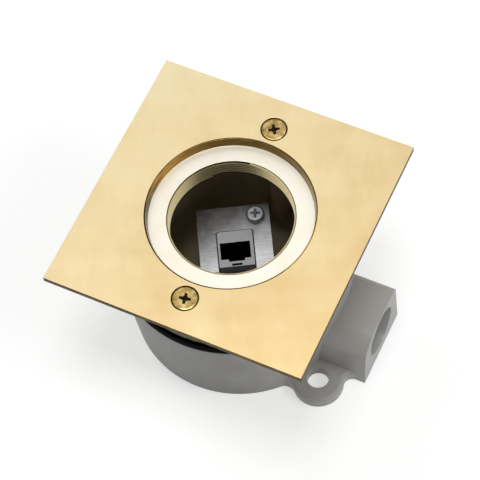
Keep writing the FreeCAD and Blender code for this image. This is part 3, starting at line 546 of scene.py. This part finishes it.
def hoop(name, rings, sides=192):
    """A closed ring about the main axis, from its outline's radius and level pairs."""
    radius, level = rings[0]
    bpy.ops.object.select_all(action="DESELECT")
    bpy.ops.mesh.primitive_circle_add(vertices=sides, radius=radius, location=(0, 0, level))
    piece = bpy.context.object
    piece.name = name
    edit(piece)
    draw_out((0, 0), rings)
    bpy.ops.mesh.select_all(action="DESELECT")
    bpy.ops.mesh.select_mode(type="EDGE")
    bpy.ops.mesh.select_non_manifold()
    bpy.ops.mesh.bridge_edge_loops()
    bpy.ops.mesh.select_all(action="SELECT")
    bpy.ops.mesh.normals_make_consistent(inside=False)
    bpy.ops.mesh.select_mode(type="VERT")
    bpy.ops.object.mode_set(mode="OBJECT")
    settle(piece)
    return piece


thread_root = neck_bore + thread_depth
ring = hoop("turned_ring", (
    (thread_root, ring_low.z + mouth_bevel), (thread_root + mouth_bevel, ring_low.z),
    (neck_outside, ring_low.z), (neck_outside, flange_underside), (flange_radius, flange_underside),
    (flange_radius, ring_high.z), (rim_outside, ring_high.z), (rim_outside, rim_top), (rim_inside, rim_top),
    (rim_inside - wall_taper, ledge_level), (ledge_inside, ledge_level),
    (thread_root, ledge_level - ledge_bevel)))
dress(ring, ring_brass_and_sheen)
finish_edges(ring, 0.00012, 2, 40)
dress_where(ring, wall_brass, lambda spot, way: spot.z > ledge_level + near
            or abs(way.z) < 0.9 and abs(spot.z - ledge_level) < 2 * near)
dress_where(ring, root_painted_shade, lambda spot, way: spot.xy.length < thread_root + near
            and abs(way.z) < 0.6 and spot.z < ledge_level - ledge_bevel)
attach(ring, "cover")
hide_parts("thread_ring")

# The thread's section, a three-cornered circle set with a corner inwards, is wound up the neck and
# runs out flat under the ledge
thread_foot, thread_start, thread_steps = math.radians(134), ring_low.z + 0.0008, 560
bpy.ops.object.select_all(action="DESELECT")
bpy.ops.mesh.primitive_circle_add(vertices=3, radius=thread_depth, location=(thread_root, 0, thread_start))
thread = bpy.context.object
thread.name = "neck_thread"
edit(thread)
bpy.ops.transform.rotate(value=math.radians(90), orient_axis="X", center_override=thread.location)
bpy.ops.transform.rotate(value=-math.radians(90), orient_axis="Y", center_override=thread.location)
bpy.ops.transform.rotate(value=-thread_foot, orient_axis="Z", center_override=(0, 0, 0))
bpy.ops.object.mode_set(mode="OBJECT")
settle(thread)
winding = thread.modifiers.new("winding", "SCREW")
winding.axis = "Z"
winding.angle = math.tau * thread_turns
winding.screw_offset = thread_pitch * thread_turns
winding.steps = thread_steps
winding.render_steps = thread_steps
bpy.ops.object.modifier_apply(modifier=winding.name)
edit(thread)
bpy.ops.mesh.remove_doubles(threshold=1e-6)
bpy.ops.mesh.fill_holes(sides=4)
bpy.ops.mesh.normals_make_consistent(inside=False)
bpy.ops.object.mode_set(mode="OBJECT")
for corner in thread.data.vertices:
    corner.co.z = min(corner.co.z, ledge_level - ledge_bevel)
bpy.ops.object.shade_smooth_by_angle(angle=math.radians(35))
dress(thread, thread_brass)
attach(thread, "cover")

# ---- Cover plate
# Sawn from brass sheet, ground on top, drilled and bored. The ground face has a faint cloudy grain and
# a few smeared streaks, and is painted lighter towards minus x and plus y and darker towards plus x and
# minus y, as painted sheen. Its cut edges are dull and brown. It lies on the collar and the ring.
plate_brass, tree, shader, place = new_finish("ground_brass", "f5e0b0", 1.0, 0.36)
cloud = noise(tree, place, 50, 5.0, (1, 1.6, 1), 0.5)
smear = noise(tree, place, 150, 4.0, (6, 1, 1), 0.45)
mottle_and_painted_sheen = add(tree, "Math", operation="MULTIPLY_ADD")
tree.links.new(smear, mottle_and_painted_sheen.inputs[0])
smear_share = 0.35
mottle_and_painted_sheen.inputs[1].default_value = smear_share
# Painted sheen: a slow change from corner to corner across the plate
tree.links.new(drift(tree, place, (4.0, -3.6, 0), cloud, 1.0), mottle_and_painted_sheen.inputs[2])
tree.links.new(shade(tree, mottle_and_painted_sheen.outputs["Value"], (0.1, "fdedc1"), (0.55, "f7e1b0"), (1.0, "e9cd95")),
               shader.inputs["Base Color"])
grain = noise(tree, place, 700, 4.0, (1, 6, 1), 0.35)
tree.links.new(span(tree, grain, 0.3, 0.44), shader.inputs["Roughness"])
roughen(tree, shader, grain, 0.000006)
plate = soft_edged("cover_plate", 0.00015, "brass_plate")
dress(plate, plate_brass)

# Sawn brass edge, coloured dark brown
edge_brown, tree, shader, place = new_finish("edge_brown", "4a3a1c", 1.0, 0.5)
tree.links.new(shade(tree, noise(tree, place, 300, 3.0, (1, 1, 8)), (0.3, "3c2e14"), (0.7, "624e26")),
               shader.inputs["Base Color"])
plate_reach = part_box("cover_plate")[1].x
dress_where(plate, wall_brass, lambda spot, way: abs(way.z) < 0.95)
dress_where(plate, edge_brown, lambda spot, way: abs(way.z) < 0.5
            and (max(abs(spot.x), abs(spot.y)) > plate_reach - near
                 or spot.xy.length < opening_radius + near))

# ---- Cover screws
# Two long M5 brass screws with countersunk heads and cross recesses, turned and a shade darker than the
# plate, with a dark brown recess and a dark brown ring round the head. They clamp the cover and collar to
# the cup's pillars.
dark_recess_brown = new_finish("dark_recess_brown", "33240f", 0.0, 0.7)[0]
screw_brass, tree, shader, place = new_finish("screw_brass", "d0b274", 1.0, 0.3)
tree.links.new(shade(tree, noise(tree, place, 420, 4.0), (0.3, "8f773e"), (0.5, "c6a868"), (0.68, "ecd59c")),
               shader.inputs["Base Color"])
tree.links.new(span(tree, noise(tree, place, 1100, 3.0), 0.22, 0.42), shader.inputs["Roughness"])
shank, tip, dark_ring_width = 0.00245, 0.0008, 0.00055
for number, turn in ((1, 0.6), (2, 0.2)):
    centre, low, high = middle(f"cover_screw_{number}")
    one_side, other_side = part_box(f"cover_screw_{number}")
    head = (other_side.x - one_side.x) / 2
    screw = lathe(f"countersunk_screw_{number}", centre, (
        (head - 0.0012, high), (head - 0.0005, high - 0.00004), (head - 0.00015, high - 0.00022),
        (head - 0.0003, high - 0.0004), (shank, high - (head - shank)), (shank, low + tip),
        (shank * 0.6, low)))
    dress(screw, screw_brass)
    punch_cross(screw, centre, high, 0.0024, 0.0012, 0.0018, turn, dark_recess_brown)
    finish_edges(screw, 0.00006, 1, 40)
    dress_where(screw, edge_brown, lambda spot, way: abs(way.z) < 0.8
                and (spot.xy - Vector(centre)).length > head - tip
                or (spot.xy - Vector(centre)).length > head - dark_ring_width and spot.z > high - 0.001)
    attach(screw, f"screw_{number}")
    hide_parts(f"cover_screw_{number}")

# ---- Floor and light
# A white paper floor under soft light, with broad lamps at the left, overhead and at the right. Only
# the overhead lamp shows in metal.
bpy.ops.object.select_all(action="DESELECT")
bpy.ops.mesh.primitive_plane_add(size=6.0, location=(0, 0, 0))
floor = bpy.context.object
floor.name = "floor"


def seen(tree):
    """1 for rays that show a surface to the camera, directly or in metal or glass."""
    path = add(tree, "LightPath")
    direct = add(tree, "Math", operation="MAXIMUM")
    tree.links.new(path.outputs["Is Camera Ray"], direct.inputs[0])
    tree.links.new(path.outputs["Is Glossy Ray"], direct.inputs[1])
    either = add(tree, "Math", operation="MAXIMUM")
    tree.links.new(direct.outputs["Value"], either.inputs[0])
    tree.links.new(path.outputs["Is Transmission Ray"], either.inputs[1])
    return either.outputs["Value"]


paper, tree, shader, place = new_finish("white_paper", "ececec", 0.0, 0.9)
shown = add(tree, "BsdfDiffuse", Color=linear("d6d6d6"))
glow = add(tree, "Emission", Color=(1, 1, 1, 1), Strength=0.53)
lit = add(tree, "AddShader")
tree.links.new(shown.outputs["BSDF"], lit.inputs[0])
tree.links.new(glow.outputs["Emission"], lit.inputs[1])
choice = add(tree, "MixShader", Fac=seen(tree))
tree.links.new(shader.outputs["BSDF"], choice.inputs[1])
tree.links.new(lit.outputs["Shader"], choice.inputs[2])
tree.links.new(choice.outputs["Shader"], tree.nodes["Material Output"].inputs["Surface"])
dress(floor, paper)


def lamp(name, spot, size, power, shows):
    """A square soft lamp aimed at the middle of the box. One that doesn't show leaves no glint in metal."""
    light = bpy.data.lights.new(name, "AREA")
    light.shape = "SQUARE"
    light.size = size
    light.energy = power
    thing = bpy.data.objects.new(name, light)
    scene.collection.objects.link(thing)
    thing.location = spot
    thing.rotation_euler = (Vector(spot) - box_middle).to_track_quat("Z", "Y").to_euler()
    thing.visible_glossy = shows


box_middle = Vector((0, 0, 0.04))
lamp("key", (-1.05, 0.45, 1.2), 0.6, 4.6, False)
lamp("overhead", (0.0, 0.0, 2.6), 0.9, 18.2, True)
lamp("right_fill", (1.05, 0.1, 0.95), 0.6, 5.2, False)

# The studio is dark in a patch behind the first camera's place, darkest within 25 degrees and gone by 39.
# It shows in reflections, takes no light from matt surfaces, and stays there when the camera moves.
# Polished walls that face it look brown, and look paler without it.
studio_light, studio_seen, dark_seen = 0.25, 0.78, 0.06
dark_edge, dark_core = math.cos(math.radians(39)), math.cos(math.radians(25))
world = bpy.data.worlds.new("studio")
scene.world = world
world.use_nodes = True
tree = world.node_tree
sky = tree.nodes["Background"]
sky.inputs["Color"].default_value = (1, 1, 1, 1)
toward_camera = add(tree, "VectorMath", operation="DOT_PRODUCT")
tree.links.new(add(tree, "TexCoord").outputs["Generated"], toward_camera.inputs[0])
toward_camera.inputs[1].default_value = camera_back
dark = add(tree, "MapRange", interpolation_type="SMOOTHSTEP", Value=toward_camera.outputs["Value"],
           From_Min=dark_edge, From_Max=dark_core, To_Min=studio_seen, To_Max=dark_seen)
level = add(tree, "MapRange", Value=seen(tree), To_Min=studio_light, To_Max=dark.outputs["Result"])
tree.links.new(level.outputs["Result"], sky.inputs["Strength"])

scene.view_settings.view_transform = "Standard"
